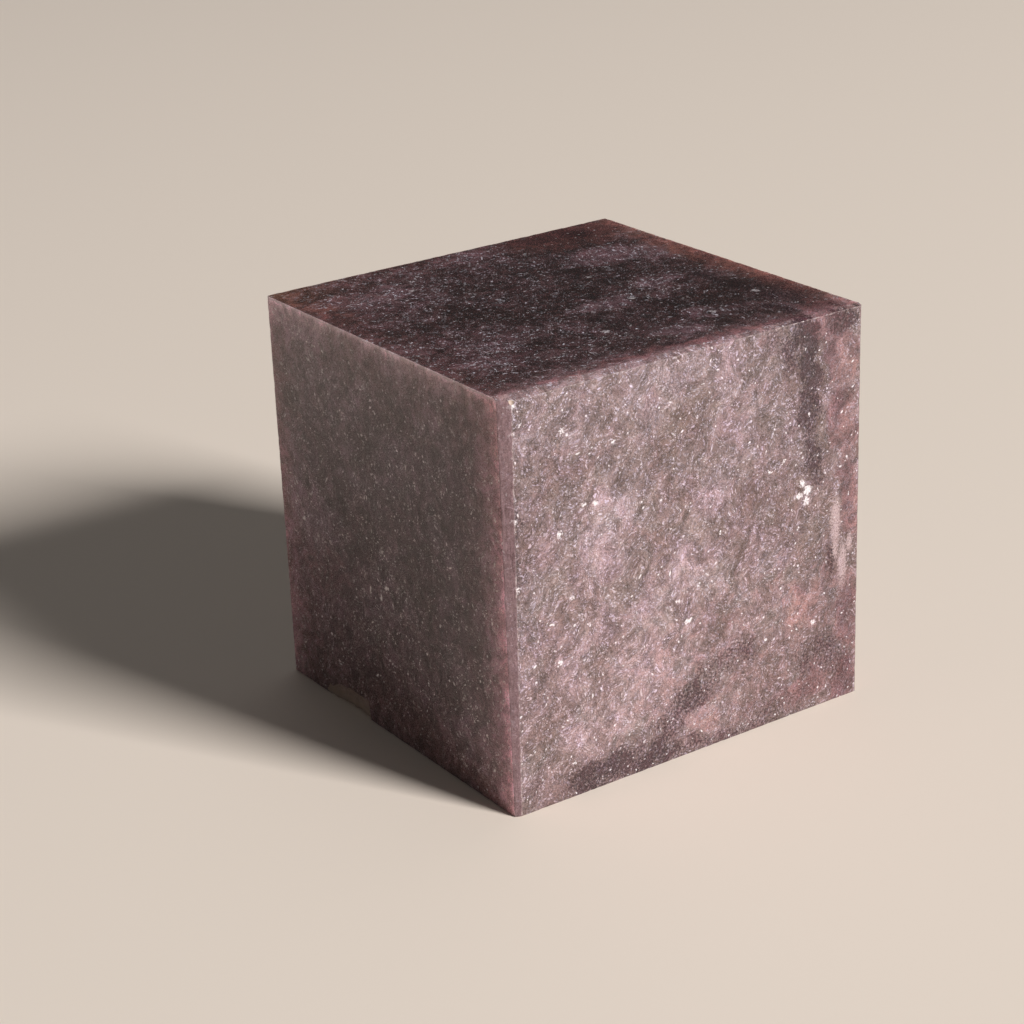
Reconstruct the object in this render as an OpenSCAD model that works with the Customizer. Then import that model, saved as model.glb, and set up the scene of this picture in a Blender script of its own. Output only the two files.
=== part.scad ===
// Polished cube of lepidolite, a lilac mica stone, cut from one block.
// Millimetres. The origin is the centre of the base, and +Z is up.
// The -Y side is the front face and the -X side is the left face. The upright
// edge between those two is the leading edge.

/* [Block] */
// Width from the left face to the right face, along X
block_width = 61.2; // [40:0.1:90]
// Depth from the front face to the back face, along Y
block_depth = 59.3; // [40:0.1:90]
// Height from the base to the top face, along Z
block_height = 60; // [40:0.1:90]

/* [Rounded edges] */
// Radius of the upright edge between the front and right faces
right_upright_radius = 1; // [0.2:0.1:3]
// Radius of the upright edge between the right and back faces
back_upright_radius = 1.6; // [0.2:0.1:3]
// Radius of the upright edge between the back and left faces
left_upright_radius = 0.8; // [0.2:0.1:3]
// Radius of the left face's top edge, which was polished almost sharp
left_top_radius = 0.3; // [0.1:0.1:2]
// Radius of the right face's top edge
right_top_radius = 0.9; // [0.1:0.1:2]
// Radius of the back face's top edge
back_top_radius = 0.9; // [0.1:0.1:2]
// Radius of the four edges round the base
base_radius = 0.4; // [0.1:0.1:2]

/* [Ground bevels] */
// Width of the leading edge's bevel across the front face, at the base
leading_bevel_base = 0.9; // [0.3:0.1:4]
// Width of the same bevel across the front face, at the top
leading_bevel_top = 1.8; // [0.3:0.1:4]
// Angle between the leading edge's bevel and the front face
leading_bevel_angle = 25; // [15:1:60]
// Width of the front top edge's bevel across the top face, at its left end
front_bevel_left = 1.6; // [0.3:0.1:4]
// Width of the same bevel across the top face, at its right end
front_bevel_right = 0.8; // [0.3:0.1:4]
// Angle between the front top edge's bevel and the top face
front_bevel_angle = 20; // [15:1:60]

/* [Foot chip] */
// Length of the long chip in the left face's foot
foot_chip_length = 10.4; // [4:0.1:12]
// Height of the long chip up the left face
foot_chip_height = 2.5; // [0.5:0.1:3.5]
// Depth of the long chip across the base
foot_chip_depth = 0.8; // [0.3:0.1:3]
// Distance from the back face to the middle of the long chip
foot_chip_from_back = 16; // [8:0.5:24]
// Length of the short steep break at the long chip's front end
foot_break_length = 5.2; // [4:0.1:7]
// Height of the short break up the left face
foot_break_height = 2.5; // [0.5:0.1:2.8]
// Depth of the short break across the base
foot_break_depth = 0.7; // [0.3:0.1:2]
// Distance from the back face to the middle of the short break
foot_break_from_back = 19.5; // [12:0.5:28]

/* [Small chips] */
// Length of the nick in the upright edge between the back and left faces
side_nick_length = 1.8; // [1:0.1:3]
// Depth of that nick into each of the two faces
side_nick_depth = 0.8; // [0.2:0.1:1.2]
// Height of that nick above the base
side_nick_height = 19.5; // [8:0.5:32]
// Length of the shallow notch in the front top edge
top_notch_length = 3; // [1:0.1:5]
// Depth of that notch across the top face
top_notch_depth = 1.3; // [0.3:0.1:2]
// Depth of that notch down the front face
top_notch_drop = 0.7; // [0.2:0.1:1]
// Distance from the left face to the middle of that notch
top_notch_from_left = 28.6; // [10:0.1:34]
// Width of each nick down the leading edge, across the front face
leading_nick_width = 0.5; // [0.2:0.1:1]
// Depth of each nick down the leading edge, into the front face
leading_nick_depth = 0.4; // [0.2:0.1:0.8]

/* [Hidden] */
$fn = 64;
// Reach of a cutter past the stone's own surface
spare = 5;
// Reach of a bevel's cutter to each side of the edge
reach = 12;
// Nicks down the leading edge, each as its distance below the top face and its
// length
leading_nicks = [[4.5, 1.2], [16, 1], [25.6, 1.6]];

// How far a scoop's centre stands off a face, where the scoop reaches `rise`
// into that face and is `length` long on the edge
function stand_off(length, rise) = (length * length / (4 * rise) - rise) / 2;

// Width of the leading edge's bevel across the front face at a height
function leading_bevel(height) = leading_bevel_base
    + (leading_bevel_top - leading_bevel_base) * height / block_height;

// What polishing takes off a square corner at the origin
module rounded_off(radius) {
    if (radius > 0)
        difference() {
            square(radius);
            translate([radius, radius]) circle(radius);
        }
}

// Rectangle from the origin with a radius for each corner, anticlockwise from
// the corner at the origin, where 0 leaves a corner square
module eased_rectangle(width, height, radii) {
    difference() {
        square([width, height]);
        rounded_off(radii[0]);
        translate([width, 0]) rotate(90) rounded_off(radii[1]);
        translate([width, height]) rotate(180) rounded_off(radii[2]);
        translate([0, height]) rotate(270) rounded_off(radii[3]);
    }
}

// The block with its rounded edges, as three outlines that cross. The leading
// edge and the front top edge stay square for their bevels.
module eased_block() {
    intersection() {
        translate([-block_width / 2, -block_depth / 2, 0])
            linear_extrude(block_height)
                eased_rectangle(block_width, block_depth, [0,
                    right_upright_radius, back_upright_radius, left_upright_radius]);
        translate([-block_width / 2, block_depth / 2, 0])
            rotate([90, 0, 0]) linear_extrude(block_depth)
                eased_rectangle(block_width, block_height, [base_radius,
                    base_radius, right_top_radius, left_top_radius]);
        translate([-block_width / 2, -block_depth / 2, 0])
            rotate([90, 0, 90]) linear_extrude(block_width)
                eased_rectangle(block_depth, block_height, [base_radius,
                    base_radius, back_top_radius, 0]);
    }
}

// Cutter for a flat bevel on an edge that runs up from the origin, with the
// stone at +x and +y. The bevel is `start` wide across the stone's -y face at
// the origin and `end` wide there at `length`, and turned `angle` from it.
module bevel_cutter(length, start, end, angle) {
    lean = atan((end - start) * sin(angle) / length);
    rotate([0, 0, 90 - angle]) translate([start * sin(angle), 0, 0])
        rotate([0, lean, 0]) translate([-spare, -reach, -spare])
            cube([spare, 2 * reach, length + 2 * spare]);
}

// Cutter for a shell-shaped chip on an edge that runs along y, with the stone
// at +x and +z. It is `length` long on the edge and reaches `depth` along x
// and `height` along z. The turns keep the sphere's poles and seam off the
// stone.
module scoop(length, depth, height) {
    out = stand_off(length, depth);
    down = stand_off(length, height);
    translate([-out, 0, -down]) rotate([90, 0, 0]) rotate(225)
        sphere(sqrt(out * out + down * down + length * length / 4));
}

module leading_edge_bevel() {
    translate([-block_width / 2, -block_depth / 2, 0])
        bevel_cutter(block_height, leading_bevel_base, leading_bevel_top,
            leading_bevel_angle);
}

module front_top_bevel() {
    translate([block_width / 2, -block_depth / 2, block_height])
        rotate([-90, 0, 90])
            bevel_cutter(block_width, front_bevel_right, front_bevel_left,
                front_bevel_angle);
}

// The long chip in the left face's foot
module foot_chip() {
    translate([-block_width / 2, block_depth / 2 - foot_chip_from_back, 0])
        scoop(foot_chip_length, foot_chip_depth, foot_chip_height);
}

// The short steep break at the long chip's front end
module foot_break() {
    translate([-block_width / 2, block_depth / 2 - foot_break_from_back, 0])
        scoop(foot_break_length, foot_break_depth, foot_break_height);
}

// The nick in the upright edge between the back and left faces
module side_nick() {
    translate([-block_width / 2, block_depth / 2, side_nick_height])
        rotate([90, 0, 0])
            scoop(side_nick_length, side_nick_depth, side_nick_depth);
}

// The shallow notch in the front top edge
module top_notch() {
    translate([top_notch_from_left - block_width / 2, -block_depth / 2,
            block_height])
        rotate([180, 0, 90])
            scoop(top_notch_length, top_notch_depth, top_notch_drop);
}

// One nick where the leading edge's bevel meets the front face
module leading_nick(below_top, length) {
    height = block_height - below_top;
    translate([leading_bevel(height) - block_width / 2, -block_depth / 2,
            height])
        rotate([-90, 0, 0])
            scoop(length, leading_nick_width, leading_nick_depth);
}

module stone_cube() {
    color([0.45, 0.36, 0.40]) difference() {
        eased_block();
        leading_edge_bevel();
        front_top_bevel();
        foot_chip();
        foot_break();
        side_nick();
        top_notch();
        for (nick = leading_nicks) leading_nick(nick[0], nick[1]);
    }
}

stone_cube();
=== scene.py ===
"""Polished lepidolite cube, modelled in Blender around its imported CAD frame."""
import math
import random

import bpy
import numpy
from mathutils import Matrix, Vector
from mathutils.noise import fractal, seed_set, turbulence_vector


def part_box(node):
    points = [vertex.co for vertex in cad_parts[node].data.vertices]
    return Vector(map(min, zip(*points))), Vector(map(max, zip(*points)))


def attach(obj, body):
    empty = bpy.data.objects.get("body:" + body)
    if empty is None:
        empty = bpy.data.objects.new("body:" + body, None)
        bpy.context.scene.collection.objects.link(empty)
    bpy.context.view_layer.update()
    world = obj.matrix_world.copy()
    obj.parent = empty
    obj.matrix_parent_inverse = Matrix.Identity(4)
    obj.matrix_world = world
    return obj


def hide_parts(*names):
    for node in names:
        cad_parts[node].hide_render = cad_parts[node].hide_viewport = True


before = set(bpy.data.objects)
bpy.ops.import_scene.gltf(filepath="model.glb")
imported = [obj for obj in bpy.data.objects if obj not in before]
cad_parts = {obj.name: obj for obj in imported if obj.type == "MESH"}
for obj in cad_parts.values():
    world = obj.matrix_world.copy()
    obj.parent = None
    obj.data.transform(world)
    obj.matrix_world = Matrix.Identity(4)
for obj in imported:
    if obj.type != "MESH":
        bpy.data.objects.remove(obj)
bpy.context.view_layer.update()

# ---------------------------------------------------------------------------
# The polished block. One piece of lepidolite, a lilac mica stone, sawn square
# and lapped flat. The leading upright edge and the front top edge carry flat
# ground bevels, and every other edge is only eased by the polishing.
# ---------------------------------------------------------------------------
MM = 0.001
low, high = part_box("stone_cube")
block_size = high - low
block_centre = (low + high) / 2

LEADING_BEVEL_BASE = 0.9 * MM
LEADING_BEVEL_TOP = 1.8 * MM
LEADING_BEVEL_ANGLE = math.radians(25)
FRONT_BEVEL_LEFT = 1.6 * MM
FRONT_BEVEL_RIGHT = 0.8 * MM
FRONT_BEVEL_ANGLE = math.radians(20)


def only(*objects):
    """Makes these the selected objects, and the first the active one."""
    if bpy.context.mode != "OBJECT":
        bpy.ops.object.mode_set(mode="OBJECT")
    bpy.ops.object.select_all(action="DESELECT")
    for thing in objects:
        thing.select_set(True)
    bpy.context.view_layer.objects.active = objects[0]


for thing in list(bpy.context.selected_objects):
    thing.select_set(False)

bpy.ops.mesh.primitive_cube_add(size=1, location=block_centre)
stone = bpy.context.object
stone.name = "polished_cube"
bpy.ops.transform.resize(value=block_size)
bpy.ops.object.transform_apply(location=True, rotation=True, scale=True)


def cut_away(corner, first, second):
    """Bisects the edit mesh by the plane through three points and closes it.
    What lies on the far side of the plane from the stone's middle goes."""
    normal = (first - corner).cross(second - corner).normalized()
    if normal.dot(block_centre - corner) > 0:
        normal.negate()
    bpy.ops.mesh.select_all(action="SELECT")
    bpy.ops.mesh.bisect(plane_co=corner, plane_no=normal, use_fill=True,
                        clear_outer=True)


leading_top = Vector((low.x + LEADING_BEVEL_TOP, low.y, high.z))
leading_base = Vector((low.x + LEADING_BEVEL_BASE, low.y, low.z))
leading_side = Vector((low.x, low.y + LEADING_BEVEL_TOP * math.tan(LEADING_BEVEL_ANGLE),
                       high.z))
front_left = Vector((low.x, low.y + FRONT_BEVEL_LEFT, high.z))
front_right = Vector((high.x, low.y + FRONT_BEVEL_RIGHT, high.z))
front_drop = Vector((low.x, low.y,
                     high.z - FRONT_BEVEL_LEFT * math.tan(FRONT_BEVEL_ANGLE)))
front_drop_right = Vector((high.x, low.y,
                           high.z - FRONT_BEVEL_RIGHT * math.tan(FRONT_BEVEL_ANGLE)))
bpy.ops.object.mode_set(mode="EDIT")
cut_away(leading_base, leading_top, leading_side)
cut_away(front_left, front_right, front_drop)
bpy.ops.object.mode_set(mode="OBJECT")

# How far the polishing eased each edge. The left top edge stayed nearly sharp.
EASING = {
    "right_upright": 1.0 * MM,
    "back_upright": 1.6 * MM,
    "left_upright": 0.8 * MM,
    "right_top": 0.9 * MM,
    "back_top": 0.6 * MM,
    "left_top": 0.3 * MM,
    "base": 0.4 * MM,
    "leading_left": 0.35 * MM,
    "leading_front": 0.1 * MM,
    "front_top_back": 0.3 * MM,
    "front_top_front": 0.14 * MM,
    "bevel_ends": 0.12 * MM,
}
NEAR = 0.05 * MM


def edge_name(start, end):
    """Says which of the stone's edges runs between two corners."""
    def both(axis, value):
        return abs(start[axis] - value) < NEAR and abs(end[axis] - value) < NEAR

    left, right = both(0, low.x), both(0, high.x)
    front, back = both(1, low.y), both(1, high.y)
    base, top = both(2, low.z), both(2, high.z)
    if base:
        return "base"
    if back and right:
        return "back_upright"
    if back and left:
        return "left_upright"
    if right and front:
        return "right_upright"
    if top and back:
        return "back_top"
    if top and right:
        return "right_top"
    if top and left:
        return "left_top"
    if left:
        return "leading_left"
    if top:
        return "front_top_back"
    if front:
        upright = abs(start.z - end.z) > block_size.z / 2
        return "leading_front" if upright else "front_top_front"
    return "bevel_ends"


EASING_ROWS = 6
widest = max(EASING.values())
weights = stone.data.attributes.new("bevel_weight_edge", "FLOAT", "EDGE")
for edge in stone.data.edges:
    start, end = (stone.data.vertices[i].co for i in edge.vertices)
    weights.data[edge.index].value = EASING[edge_name(start, end)] / widest
only(stone)
easing = stone.modifiers.new("easing", "BEVEL")
easing.limit_method = "WEIGHT"
easing.width = widest
easing.segments = EASING_ROWS
easing.use_clamp_overlap = True
bpy.ops.object.modifier_apply(modifier=easing.name)

# Chips. Each cutter is a rough lump of rock sunk a little into the stone, and
# all of them are cut out of it at once.
chance = random.Random(41)
cutters = []
taken = []
CLEAR = Vector((0.1, 0.1, 0.1)) * MM
LUMP_WAVES = 1.3
LUMP_SHIFT = 50


def rough_lump(place, axes, radii, detail, roughness):
    """An uneven ball with these three radii along three axes."""
    bpy.ops.mesh.primitive_ico_sphere_add(subdivisions=detail, radius=1)
    lump = bpy.context.object
    drift = Vector([chance.uniform(-LUMP_SHIFT, LUMP_SHIFT) for _ in range(3)])
    turned = Matrix([axes[0] * radii[0], axes[1] * radii[1], axes[2] * radii[2]]).transposed()
    for vertex in lump.data.vertices:
        swell = fractal(vertex.co * LUMP_WAVES + drift, 0.6, 2.2, 4, noise_basis="PERLIN_ORIGINAL")
        vertex.co = place + turned @ (vertex.co * (1 + roughness * swell))
    lump.data.update()
    corners = [Vector(c) for c in lump.bound_box]
    span = (corners[0] - CLEAR, corners[6] + CLEAR)
    if any(all(span[0][i] < other[1][i] and other[0][i] < span[1][i] for i in range(3))
           for other in taken):
        bpy.data.objects.remove(lump)
        return
    taken.append(span)
    cutters.append(lump)


LEFT, RIGHT = Vector((-1, 0, 0)), Vector((1, 0, 0))
FRONT, BACK = Vector((0, -1, 0)), Vector((0, 1, 0))
UP, DOWN = Vector((0, 0, 1)), Vector((0, 0, -1))
BEVEL = Vector((-math.sin(LEADING_BEVEL_ANGLE), -math.cos(LEADING_BEVEL_ANGLE), 0))


def block_edge(name, side, other):
    """The edge between two faces of the box: its ends, its faces and how far
    the easing lies below the sharp corner there."""
    middle = block_centre + sum((Vector([n[i] * block_size[i] / 2 for i in range(3)])
                                 for n in (side, other)), Vector())
    along = side.cross(other)
    half = Vector([abs(along[i]) * block_size[i] / 2 for i in range(3)])
    eased = EASING[name] * (math.sqrt(2) - 1)
    return middle - half, middle + half, (side, other), eased


EDGES = {
    "left_top": block_edge("left_top", LEFT, UP),
    "right_top": block_edge("right_top", RIGHT, UP),
    "back_top": block_edge("back_top", BACK, UP),
    "right_upright": block_edge("right_upright", RIGHT, FRONT),
    "left_upright": block_edge("left_upright", LEFT, BACK),
    "back_upright": block_edge("back_upright", RIGHT, BACK),
    "front_base": block_edge("base", FRONT, DOWN),
    "left_base": block_edge("base", LEFT, DOWN),
    "right_base": block_edge("base", RIGHT, DOWN),
    "back_base": block_edge("base", BACK, DOWN),
    "front_top": (front_drop, front_drop_right, (FRONT, UP), 0.0),
    "leading_front": (leading_base, leading_top, (FRONT, BEVEL), 0.0),
}
CHIP_FLAT = 0.7
CHIP_ROUGHNESS = 0.05


def edge_chip(edge, share, length, width, depth, detail):
    """A chip this share of the way along an edge, this long on it, this wide on
    each face and this deep below what the easing left."""
    start, end, faces, eased = EDGES[edge]
    along = (end - start).normalized()
    out = (faces[0] + faces[1]).normalized()
    across = along.cross(out)
    flat = width * CHIP_FLAT
    reach = (flat * flat + depth * depth) / (2 * depth)
    cover = math.sqrt(1 - ((reach - depth) / reach) ** 2)
    place = start + (end - start) * share + out * (reach - depth - eased)
    rough_lump(place, (along, out, across), (length / 2 / cover, reach, reach), detail,
               CHIP_ROUGHNESS)


# The breaks that stand out, then the fine crumbling that every edge has.
# Each break has its edge, its place along it as a share, and its length, width
# and depth in millimetres, with the fineness of its surface.
BREAKS = (
    ("leading_front", 0.992, 1.1, 0.62, 0.30, 3), ("leading_front", 0.925, 0.9, 0.7, 0.30, 3),
    ("leading_front", 0.733, 1.0, 0.5, 0.20, 3), ("leading_front", 0.573, 1.6, 0.5, 0.20, 3),
    ("leading_front", 0.556, 0.7, 0.6, 0.20, 3), ("leading_front", 0.012, 1.4, 0.9, 0.30, 3),
    ("front_top", 0.467, 3.0, 1.0, 0.55, 4), ("front_top", 0.795, 1.1, 0.6, 0.25, 3),
    ("left_top", 0.80, 0.9, 0.4, 0.18, 3), ("left_upright", 0.328, 1.8, 1.0, 0.5, 3),
)
for edge, share, length, width, depth, detail in BREAKS:
    edge_chip(edge, share, length * MM, width * MM, depth * MM, detail)
CRUMBLED = {"front_top": 16, "leading_front": 12, "left_top": 10, "right_top": 5,
            "back_top": 7, "right_upright": 5, "left_upright": 6, "back_upright": 4,
            "front_base": 8, "left_base": 8, "right_base": 7, "back_base": 7}
CRUMB_SIZE = (0.25, 0.5)
CRUMB_PLACE = (0.1, 0.9)
CRUMB_LARGER = 0.5
CRUMB_STRETCH = (1.0, 2.0)
CRUMB_WIDTH = 0.6
CRUMB_DEPTH = (0.14, 0.26)
for edge, count in CRUMBLED.items():
    for crumb in range(count):
        share = (crumb + chance.uniform(*CRUMB_PLACE)) / count
        size = chance.uniform(*CRUMB_SIZE) + CRUMB_LARGER * chance.random() ** 4
        edge_chip(edge, share, size * chance.uniform(*CRUMB_STRETCH) * MM, size * CRUMB_WIDTH * MM,
                  size * chance.uniform(*CRUMB_DEPTH) * MM, 2)

# The flat faces are plucked here and there, where a flake of mica came away.
# A pit is a shallow dent, drawn out one way.
PLUCKED = 9
PIT_WIDTH = (0.2, 0.45)
PIT_DEPTH = 0.3
PIT_STRETCH = (1.0, 2.0)
PIT_SPREAD = (-0.9, 0.9)
PIT_ROUGHNESS = 0.03
for side, right, up in ((FRONT, RIGHT, UP), (LEFT, BACK, UP), (UP, RIGHT, BACK),
                        (BACK, LEFT, UP), (RIGHT, FRONT, UP)):
    for pit in range(PLUCKED):
        width = chance.uniform(*PIT_WIDTH) * MM
        depth = PIT_DEPTH * width
        reach = (width * width / 4 + depth * depth) / (2 * depth)
        spot = block_centre + sum((Vector([n[i] * block_size[i] / 2 for i in range(3)])
                                   * part for n, part in (
                                       (side, 1.0),
                                       (right, chance.uniform(*PIT_SPREAD)),
                                       (up, chance.uniform(*PIT_SPREAD)))), Vector())
        turn = Matrix.Rotation(chance.uniform(0, math.pi), 3, side)
        rough_lump(spot + side * (reach - depth), (turn @ right, side, turn @ up),
                   (reach * chance.uniform(*PIT_STRETCH), reach, reach), 2, PIT_ROUGHNESS)

# The long chip in the left face's foot broke away along the mica, with a steep
# wall at its front end.
FOOT_LENGTH, FOOT_HEIGHT, FOOT_DEPTH = 13.2 * MM, 3.0 * MM, 0.85 * MM
FOOT_FROM_BACK = 15.5 * MM
FOOT_ROWS = 40
FOOT_LIP = 0.25 * MM
FOOT_FRONT_SLOPE, FOOT_BACK_SLOPE = 0.5 * MM, 1.8 * MM
FOOT_HACKLE_SIZE = 2.2 * MM
FOOT_HACKLE = Vector((0.9, 0.3, 1.2))
FOOT_HACKLE_DEPTH = 0.25
FOOT_THINNING, FOOT_THINNEST = 0.55, 0.45
FOOT_CLEARS = 0.06 * MM
SPARE = 2 * MM
bpy.ops.mesh.primitive_cube_add(size=1, location=(
    low.x + (FOOT_DEPTH - SPARE) / 2, high.y - FOOT_FROM_BACK,
    low.z + (FOOT_HEIGHT - SPARE) / 2))
foot = bpy.context.object
bpy.ops.transform.resize(value=(FOOT_DEPTH + SPARE, FOOT_LENGTH, FOOT_HEIGHT + SPARE))
bpy.ops.object.transform_apply(location=True, rotation=True, scale=True)
for vertex in foot.data.vertices:
    if vertex.co.x > low.x and vertex.co.z > low.z:
        in_front_half = vertex.co.y < high.y - FOOT_FROM_BACK
        vertex.co.x = low.x + FOOT_LIP
        vertex.co.y += FOOT_FRONT_SLOPE if in_front_half else -FOOT_BACK_SLOPE
bpy.ops.object.mode_set(mode="EDIT")
bpy.ops.mesh.subdivide(number_cuts=FOOT_ROWS)
bpy.ops.object.mode_set(mode="OBJECT")
for vertex in foot.data.vertices:
    hackle = fractal(vertex.co / FOOT_HACKLE_SIZE, 0.7, 2.1, 4, noise_basis="PERLIN_ORIGINAL")
    behind = (high.y - FOOT_FROM_BACK + FOOT_LENGTH / 2 - vertex.co.y) / (
        FOOT_THINNING * FOOT_LENGTH)
    thick = min(max(behind, 0.0), 1.0)
    if vertex.co.x > low.x:
        vertex.co.x = low.x + (vertex.co.x - low.x) * thick - FOOT_CLEARS * (1 - thick)
    if vertex.co.z > low.z:
        vertex.co.z = low.z + (vertex.co.z - low.z) * (
            FOOT_THINNEST + (1 - FOOT_THINNEST) * thick)
    vertex.co += FOOT_HACKLE * hackle * FOOT_HACKLE_DEPTH * MM
foot.data.update()
cutters.append(foot)

polish = bpy.data.materials.new("polished_lepidolite")
fracture = bpy.data.materials.new("broken_lepidolite")
stone.data.materials.append(polish)
for cutter in cutters:
    cutter.data.materials.append(fracture)
only(*reversed(cutters))
bpy.ops.object.join()
tools = bpy.context.object
bpy.ops.object.mode_set(mode="EDIT")
bpy.ops.mesh.select_all(action="SELECT")
bpy.ops.mesh.normals_make_consistent(inside=False)
bpy.ops.object.mode_set(mode="OBJECT")
only(stone)
chipped = stone.modifiers.new("chips", "BOOLEAN")
chipped.operation = "DIFFERENCE"
chipped.solver = "EXACT"
chipped.material_mode = "TRANSFER"
chipped.object = tools
bpy.ops.object.modifier_apply(modifier=chipped.name)
bpy.data.objects.remove(tools)

# Fine rows of faces, so that the faces and edges can be worn in the mesh.
ROW = 0.62 * MM
bpy.ops.object.mode_set(mode="EDIT")
for axis in range(3):
    rows = int(block_size[axis] / ROW)
    direction = Vector([1.0 if i == axis else 0.0 for i in range(3)])
    for row in range(1, rows):
        place = low + direction * (block_size[axis] * row / rows)
        bpy.ops.mesh.select_all(action="SELECT")
        bpy.ops.mesh.bisect(plane_co=place, plane_no=direction, threshold=0.0001 * MM)
bpy.ops.object.mode_set(mode="OBJECT")

# Handling has rubbed the edges a little uneven, and lapping leaves the faces a
# few hundredths of a millimetre out of true. The base still stands flat.
RUBBED = 0.9 * MM
RUBBED_DEPTH = 0.08 * MM
LAP_DEPTH = 0.02 * MM
CRUMBLE_SIZE = 1.1 * MM
WAVE_SIZE = 13 * MM
SHARP = math.radians(32)
normals = [vertex.normal.copy() for vertex in stone.data.vertices]
for vertex, normal in zip(stone.data.vertices, normals):
    spot = vertex.co.copy()
    gaps = sorted(min(spot[i] - low[i], high[i] - spot[i]) for i in range(3))
    if spot.z - low.z < NEAR and gaps[1] > RUBBED:
        continue
    nearness = max(0.0, 1 - gaps[1] / RUBBED)
    crumble = fractal(spot / CRUMBLE_SIZE, 0.9, 2.1, 3, noise_basis="PERLIN_ORIGINAL")
    wave = fractal(spot / WAVE_SIZE, 0.9, 2.1, 2, noise_basis="PERLIN_ORIGINAL")
    depth = RUBBED_DEPTH * nearness * max(0.0, crumble + 0.1) + LAP_DEPTH * (0.5 + 0.5 * wave)
    vertex.co = spot - normal * depth
    for i in range(3):
        vertex.co[i] = min(max(vertex.co[i], low[i]), high[i])
bpy.ops.object.mode_set(mode="EDIT")
bpy.ops.mesh.select_all(action="SELECT")
bpy.ops.mesh.quads_convert_to_tris(quad_method="BEAUTY", ngon_method="BEAUTY")
bpy.ops.object.mode_set(mode="OBJECT")
bpy.ops.object.shade_smooth_by_angle(angle=SHARP)
flats = stone.modifiers.new("flats", "WEIGHTED_NORMAL")
flats.keep_sharp = True
bpy.ops.object.modifier_apply(modifier=flats.name)


# The colour that runs through the stone. Lepidolite grows in leaning bands, so
# one block holds pale lilac mica, dark green-grey mica and a salmon seam. Their
# fields are worked out at each corner of the mesh, in millimetres, and the
# finish frays their outlines.
MICA_LENGTH = Vector((0.545, 0, 0.839))
MICA_FACE = Vector((-0.40, -0.87, 0.26)).normalized()
MICA_WIDTH = MICA_FACE.cross(MICA_LENGTH).normalized()
SKIN = low.y / MM
TOP = high.z / MM
LEFT_SKIN = low.x / MM


def in_front(x, z, half_x, half_z, strength, deep=4.0):
    """A patch just under the front face."""
    return (x, SKIN, z), (half_x, deep, half_z), strength


def on_top(x, y, half_x, half_y, strength, deep=3.0):
    """A patch just under the top face."""
    return (x, y, TOP), (half_x, half_y, deep), strength


def on_left(y, z, half_y, half_z, strength, deep=3.0):
    """A patch just under the left face."""
    return (LEFT_SKIN, y, z), (deep, half_y, half_z), strength


# Each patch has its centre, its half sizes, its strength and how deep it goes.
DARK_PATCHES = (
    in_front(20.5, 55.4, 2.3, 5.2, 1.90), in_front(20.8, 48.5, 2.7, 4.8, 1.15),
    in_front(18.2, 56.0, 3.6, 4.6, 0.70),
    in_front(21.9, 39.5, 2.2, 5.6, 0.88), in_front(14.5, 57.5, 3.4, 3.0, 0.50),
    in_front(16.5, 42.5, 1.6, 2.2, 0.45),
    in_front(12.5, 33.5, 2.0, 3.0, 0.3), in_front(25.4, 22.5, 0.9, 3.0, 0.7),
    in_front(28.0, 58.6, 3.4, 2.4, 1.0), in_front(27.6, 46.5, 2.4, 1.6, 0.45),
    in_front(-28.0, 3.0, 3.0, 2.4, 0.50), in_front(-15.0, 2.4, 6.8, 3.4, 1.18),
    in_front(-6.5, 1.6, 5.5, 2.8, 1.1), in_front(-3.5, 5.5, 3.4, 3.2, 0.70),
    in_front(-0.3, 8.6, 4.4, 2.8, 0.98), in_front(4.0, 11.8, 4.4, 3.0, 0.62),
    in_front(9.0, 12.8, 5.0, 2.6, 0.60), in_front(0.0, 0.3, 30.0, 2.6, 0.62),
    in_front(11.0, 4.0, 5.0, 3.0, 0.38), in_front(23.5, 9.0, 6.0, 4.0, 0.62),
    in_front(20.0, 3.0, 5.0, 3.0, 0.40),
    in_front(26.4, 6.0, 3.4, 4.6, 0.56), in_front(14.5, 2.0, 4.0, 2.0, 0.60),
    in_front(-5.2, 45.3, 2.2, 1.2, 0.42, 1.5), in_front(-17.0, 29.8, 1.6, 1.5, 0.6, 1.5),
    in_front(-24.8, 19.5, 1.8, 1.4, 0.4), in_front(-29.3, 40.0, 1.4, 9.0, 0.65),
    in_front(1.5, 48.0, 2.0, 1.6, 0.4, 2.0), in_front(-10.5, 31.0, 1.5, 2.4, 0.35, 2.0),
    on_top(26.0, -17.0, 4.6, 9.0, 0.65),
    on_top(1.0, -26.4, 2.4, 1.3, 1.0, 1.5), on_top(20.2, -24.0, 1.5, 3.0, 0.8),
    on_top(22.0, 24.0, 3.0, 4.0, 0.9), on_top(-12.5, 19.6, 2.0, 0.8, 0.8),
    on_top(4.8, -2.5, 2.0, 1.5, 0.7), on_top(-1.0, -14.0, 2.2, 4.5, 0.7),
    on_top(11.0, -11.0, 5.0, 2.0, 0.5), on_top(22.5, -8.0, 2.4, 8.0, 0.7),
    on_top(9.0, 9.0, 4.0, 2.6, 0.5), on_top(-10.0, -5.0, 4.0, 2.0, 0.35),
    on_left(8.0, 8.0, 14.0, 4.0, 0.35), on_left(-6.0, 8.0, 9.0, 3.0, 0.30),
)
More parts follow.
